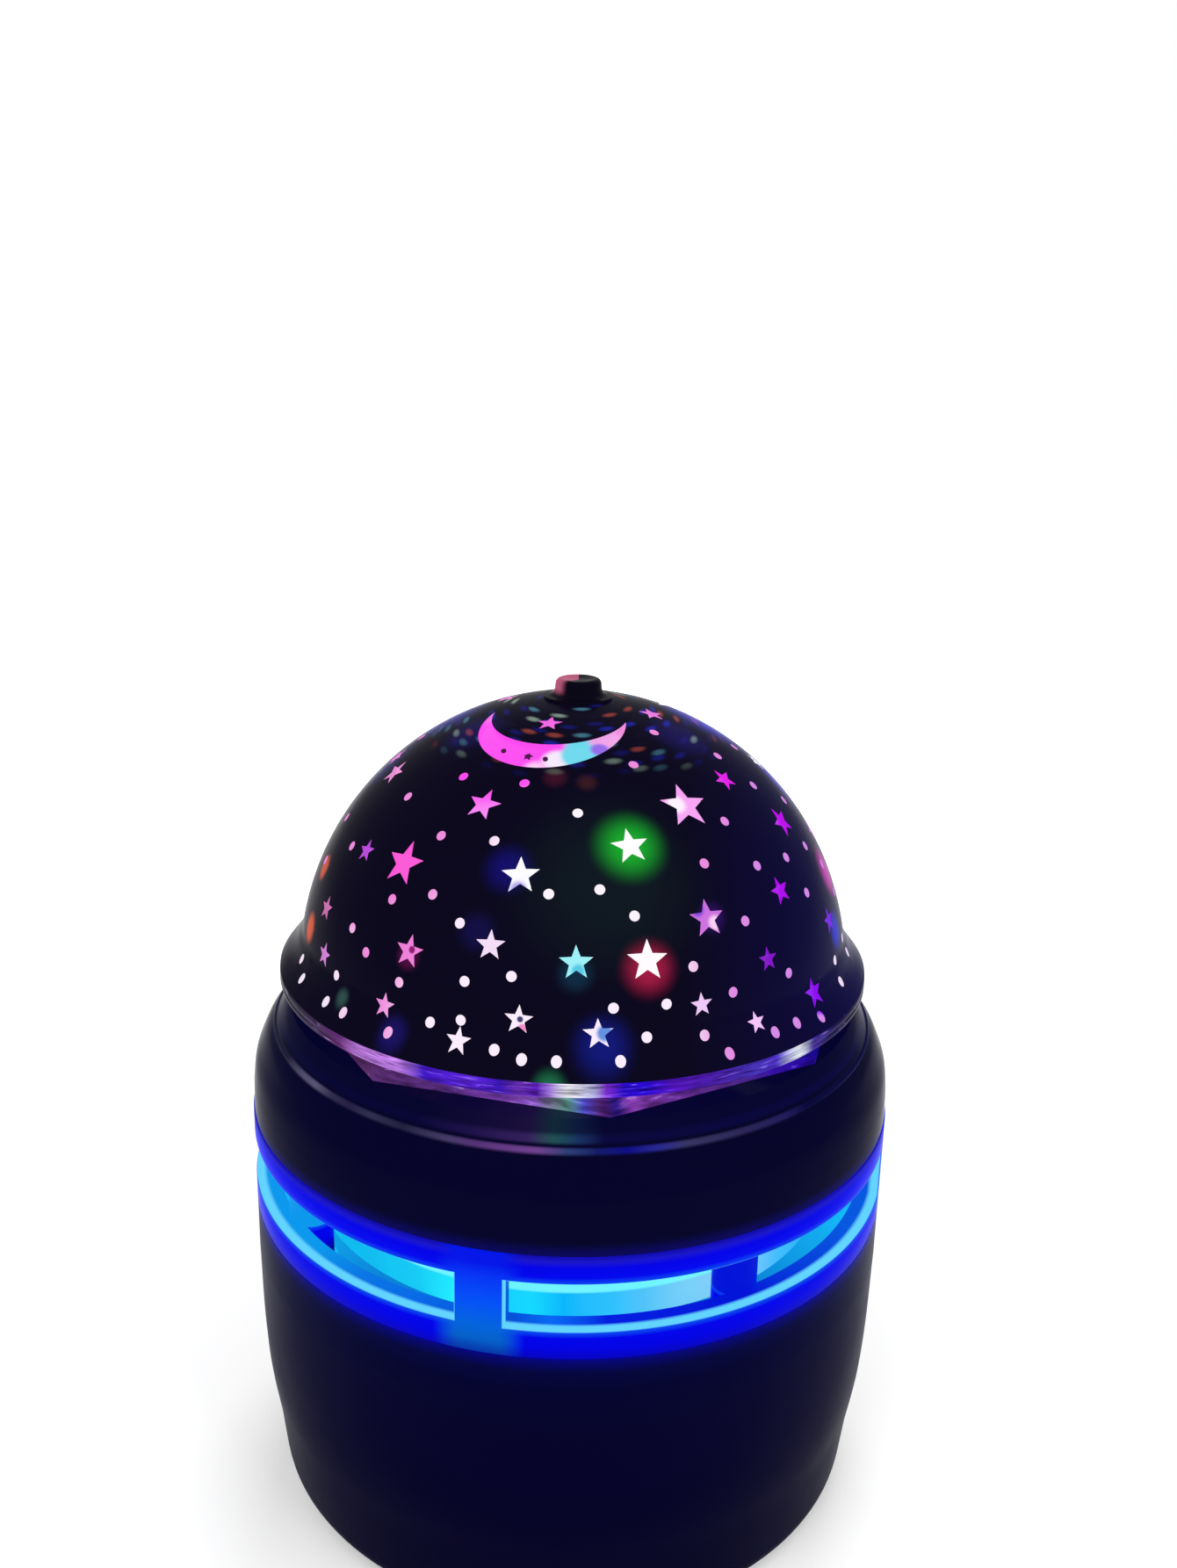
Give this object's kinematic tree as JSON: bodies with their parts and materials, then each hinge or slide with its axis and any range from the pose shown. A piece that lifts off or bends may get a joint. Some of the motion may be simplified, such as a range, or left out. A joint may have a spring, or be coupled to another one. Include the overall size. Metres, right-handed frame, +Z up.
{
  "type": "star night light projector",
  "caption": "Round night light with a lift-off star and moon cover over a turning lens dome, a slotted glowing ring and a tapered dark base with rear push buttons.",
  "frame": {"origin": "centre of the footprint on the table plane, under the rubber feet", "axes": "+Z up through the top knob; -Y toward the viewer, +Y toward the buttons and power jack; +X to the viewer's right"},
  "size_m": [0.12, 0.12, 0.155],
  "materials": {
    "navy_housing": "near-black navy ABS, soft gloss",
    "black_housing": "piano black ABS, high gloss",
    "base_plastic": "black ABS, fine texture",
    "foot_rubber": "matt black",
    "zinc_screws": "zinc plated",
    "circuit_board": "green solder mask",
    "white_board": "white solder mask",
    "chip_epoxy": "matt black",
    "capacitor_can": "satin can",
    "jack_plastic": "black",
    "white_plastic": "white ABS",
    "blue_light_ring": "translucent blue, lit from inside",
    "led_package": "white package",
    "cyan_diffuser": "milky strip, lit from inside",
    "clear_prism": "clear polycarbonate",
    "motor_can": "plated can",
    "lead_jacket": "soft jacket",
    "clear_turntable": "clear polycarbonate",
    "gear_plastic": "natural acetal",
    "clear_lens": "clear polycarbonate",
    "shaft_steel": "ground steel",
    "clear_cover": "clear polycarbonate",
    "black_skin": "opaque black film, high gloss",
    "black_knob": "black, high gloss",
    "button_plastic": "dark grey"
  },
  "bodies": {
    "base": {"lower_housing": "navy_housing", "base_plate": "base_plastic", "rubber_feet": "foot_rubber", "base_screws": "zinc_screws", "main_board": "circuit_board", "board_screws": "zinc_screws", "control_chips": "chip_epoxy", "capacitors": "capacitor_can", "power_jack": "jack_plastic", "button_board": "circuit_board", "board_pillars": "white_plastic", "tact_switches": "jack_plastic", "light_ring": "blue_light_ring", "chassis": "white_plastic", "chassis_screws": "zinc_screws", "housing_screws": "zinc_screws", "strip_board": "white_board", "strip_leds": "led_package", "diffuser_ring": "cyan_diffuser", "upper_housing": "black_housing", "prism_ring": "clear_prism", "gear_motor": "motor_can", "motor_screws": "zinc_screws", "thrust_washer": "white_plastic", "post_cap": "white_plastic", "engine_board": "white_board", "engine_screws": "zinc_screws", "star_leds": "led_package", "leads": "lead_jacket"},
    "turntable": {"turntable": "clear_turntable", "turntable_gear": "gear_plastic", "turntable_screws": "zinc_screws", "lens_dome": "clear_lens"},
    "pinion_shaft": {"motor_shaft": "shaft_steel", "pinion": "gear_plastic"},
    "cover": {"star_cover": "clear_cover", "star_mask": "black_skin", "top_knob": "black_knob", "knob_screw": "zinc_screws"},
    "colour_button": {"colour_button": "button_plastic"},
    "power_button": {"power_button": "button_plastic"},
    "turn_button": {"turn_button": "button_plastic"}
  },
  "joints": [
    {"name": "dome_turn", "type": "hinge", "parent": "base", "child": "turntable", "pos_m": [0, 0, 0.102], "axis": [0, 0, 1], "continuous": true},
    {"name": "pinion_turn", "type": "hinge", "parent": "base", "child": "pinion_shaft", "pos_m": [0.0288, 0, 0.0835], "axis": [0, 0, 1], "continuous": true},
    {"name": "cover_lift", "type": "slide", "parent": "turntable", "child": "cover", "axis": [0, 0, 1], "range_m": [0, 0.06]},
    {"name": "colour_press", "type": "slide", "parent": "base", "child": "colour_button", "axis": [0, -1, 0], "range_m": [0, 0.0009], "stiffness_N_per_m": 300},
    {"name": "power_press", "type": "slide", "parent": "base", "child": "power_button", "axis": [0, -1, 0], "range_m": [0, 0.0009], "stiffness_N_per_m": 300},
    {"name": "turn_press", "type": "slide", "parent": "base", "child": "turn_button", "axis": [0, -1, 0], "range_m": [0, 0.0009], "stiffness_N_per_m": 300}
  ],
  "couplings": [
    {"joint": "pinion_turn", "follows": "dome_turn", "ratio": -5}
  ]
}
